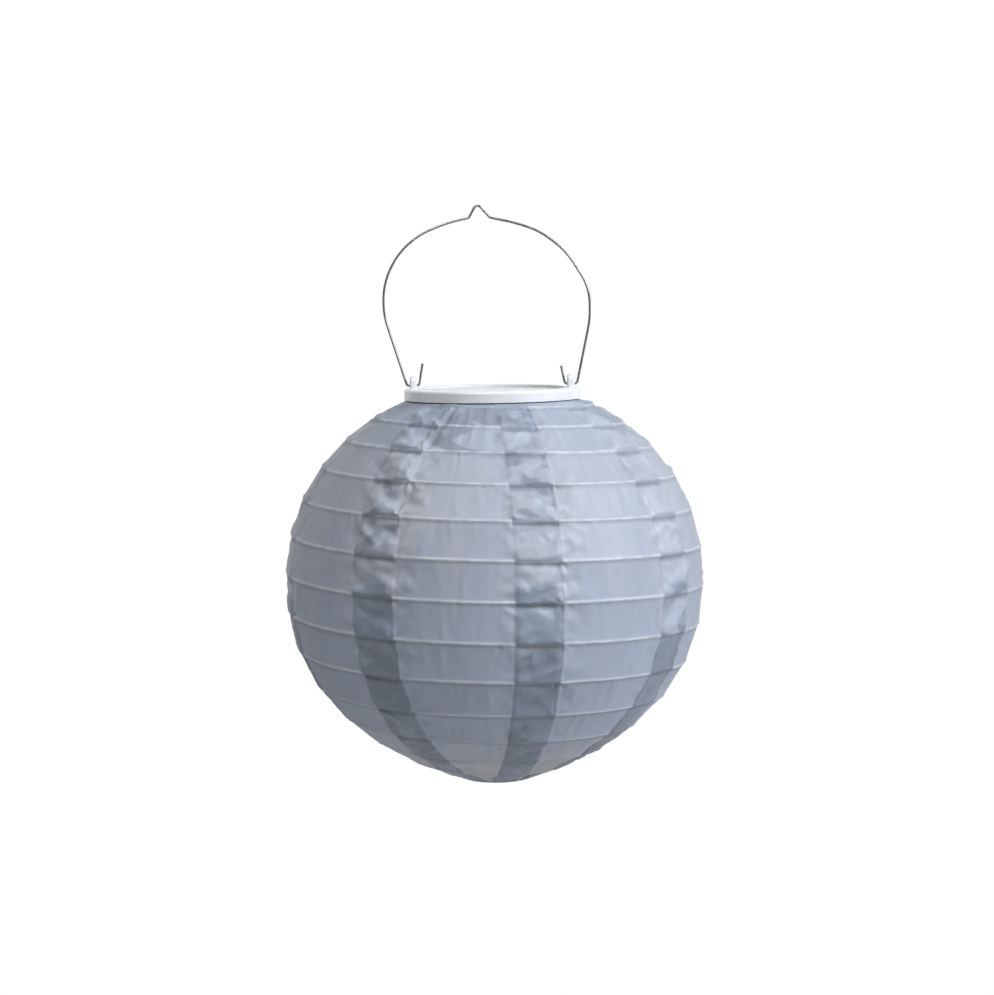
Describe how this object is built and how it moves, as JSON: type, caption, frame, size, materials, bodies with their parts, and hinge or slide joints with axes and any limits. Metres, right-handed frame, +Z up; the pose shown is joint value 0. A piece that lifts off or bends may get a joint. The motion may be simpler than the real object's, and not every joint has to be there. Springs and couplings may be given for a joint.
{
  "type": "solar hanging lantern",
  "caption": "Round hanging solar lantern: a cloth ball on a spiral wire under a white solar lid with a wire bail.",
  "frame": {"origin": "on the lantern's axis, level with the underside of the ring at the bottom of the shade", "axes": "+Z up the lantern's axis to the bail, +X along the line of the two ears, -Y to the front of the picture"},
  "size_m": [0.2497, 0.2497, 0.3439],
  "materials": {
    "steel_wire": "satin",
    "white_plastic": "satin",
    "clear_window": "gloss",
    "seal": "matte",
    "cell_board": "matte",
    "solar_cell": "gloss",
    "red_lead": "matte",
    "black_lead": "matte",
    "screw_steel": "satin",
    "battery_can": "gloss",
    "contact_metal": "satin",
    "circuit_board": "satin",
    "components": "satin",
    "led_lens": "gloss",
    "frosted_dome": "satin",
    "black_plastic": "satin",
    "shade_cloth": "sheer",
    "spring_wire": "satin"
  },
  "bodies": {
    "bail": {"bail_wire": "steel_wire"},
    "lid": {"lid_top_casing": "white_plastic", "panel_window": "clear_window", "panel_seal": "seal", "solar_cell_board": "cell_board", "solar_cells": "solar_cell", "panel_lead_red": "red_lead", "panel_lead_black": "black_lead", "lid_bottom_housing": "white_plastic", "housing_screws": "screw_steel", "battery_cell": "battery_can", "battery_plate": "contact_metal", "battery_spring": "contact_metal", "circuit_board": "circuit_board", "board_components": "components", "led_bulb": "led_lens", "led_leads": "contact_metal", "led_diffuser": "frosted_dome", "switch_body": "black_plastic"},
    "shade": {"shade_gore_1": "shade_cloth", "shade_gore_2": "shade_cloth", "shade_gore_3": "shade_cloth", "shade_gore_4": "shade_cloth", "shade_gore_5": "shade_cloth", "shade_gore_6": "shade_cloth", "shade_gore_7": "shade_cloth", "shade_gore_8": "shade_cloth", "spiral_rib": "spring_wire", "top_ring": "steel_wire", "bottom_ring": "steel_wire", "expander_frame": "steel_wire"},
    "switch_knob": {"switch_knob": "black_plastic"},
    "battery_door": {"battery_door": "white_plastic", "battery_door_screw": "screw_steel"}
  },
  "joints": [
    {"name": "lid_swing", "type": "hinge", "parent": "bail", "child": "lid", "pos_m": [0, 0, 0.2369], "axis": [1, 0, 0], "range_deg": [-90, 90]},
    {"name": "shade_pull", "type": "slide", "parent": "lid", "child": "shade", "axis": [0, 0, -1], "range_m": [0, 0.06]},
    {"name": "switch_slide", "type": "slide", "parent": "lid", "child": "switch_knob", "axis": [1, 0, 0], "range_m": [0, 0.002]},
    {"name": "door_drop", "type": "slide", "parent": "lid", "child": "battery_door", "axis": [0, 0, -1], "range_m": [0, 0.015]}
  ]
}
